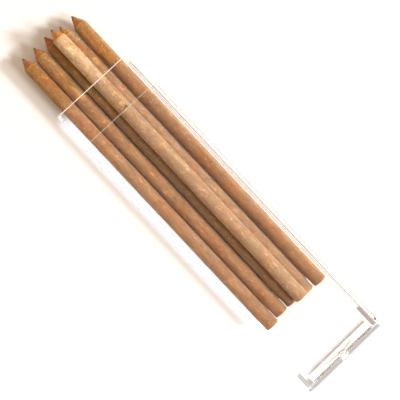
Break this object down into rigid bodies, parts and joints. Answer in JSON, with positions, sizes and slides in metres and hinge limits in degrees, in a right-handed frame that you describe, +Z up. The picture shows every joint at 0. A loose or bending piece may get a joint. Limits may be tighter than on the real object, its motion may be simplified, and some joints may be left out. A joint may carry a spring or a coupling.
{
  "type": "blending stump set",
  "caption": "Rolled paper blending stumps, pointed at one end, loose in a clear telescoping plastic case that is open at its mouth.",
  "frame": {"origin": "middle of the whole set's length and of the case's width, on the underside of the cover", "axes": "+X from the stumps' points to the case's closed end, +Y across the row of stumps, +Z up"},
  "size_m": [0.1792, 0.0396, 0.0165],
  "materials": {
    "cover_plastic": "clear polished",
    "case_plastic": "clear polished",
    "rolled_paper": "ground felted paper",
    "outer_ply": "soft unsized paper"
  },
  "bodies": {
    "cover": {"outer_cover": "cover_plastic"},
    "case": {"inner_case": "case_plastic"},
    "stump_1": {"stump_1_core": "rolled_paper", "stump_1_wrap": "outer_ply"},
    "stump_2": {"stump_2_core": "rolled_paper", "stump_2_wrap": "outer_ply"},
    "stump_3": {"stump_3_core": "rolled_paper", "stump_3_wrap": "outer_ply"},
    "stump_4": {"stump_4_core": "rolled_paper", "stump_4_wrap": "outer_ply"},
    "stump_5": {"stump_5_core": "rolled_paper", "stump_5_wrap": "outer_ply"},
    "stump_6": {"stump_6_core": "rolled_paper", "stump_6_wrap": "outer_ply"}
  },
  "joints": [
    {"name": "case_slide", "type": "slide", "parent": "cover", "child": "case", "axis": [-1, 0, 0], "range_m": [0, 0.132]},
    {"name": "stump_1_slide", "type": "slide", "parent": "case", "child": "stump_1", "axis": [-1, 0, 0], "range_m": [-0.0255, 0.122]},
    {"name": "stump_2_slide", "type": "slide", "parent": "case", "child": "stump_2", "axis": [-1, 0, 0], "range_m": [-0.0267, 0.122]},
    {"name": "stump_3_slide", "type": "slide", "parent": "case", "child": "stump_3", "axis": [-1, 0, 0], "range_m": [-0.0267, 0.122]},
    {"name": "stump_4_slide", "type": "slide", "parent": "case", "child": "stump_4", "axis": [-1, 0, 0], "range_m": [-0.0265, 0.122]},
    {"name": "stump_5_slide", "type": "slide", "parent": "case", "child": "stump_5", "axis": [-1, 0, 0], "range_m": [-0.0256, 0.122]},
    {"name": "stump_6_slide", "type": "slide", "parent": "case", "child": "stump_6", "axis": [-1, 0, 0], "range_m": [-0.0251, 0.122]}
  ]
}
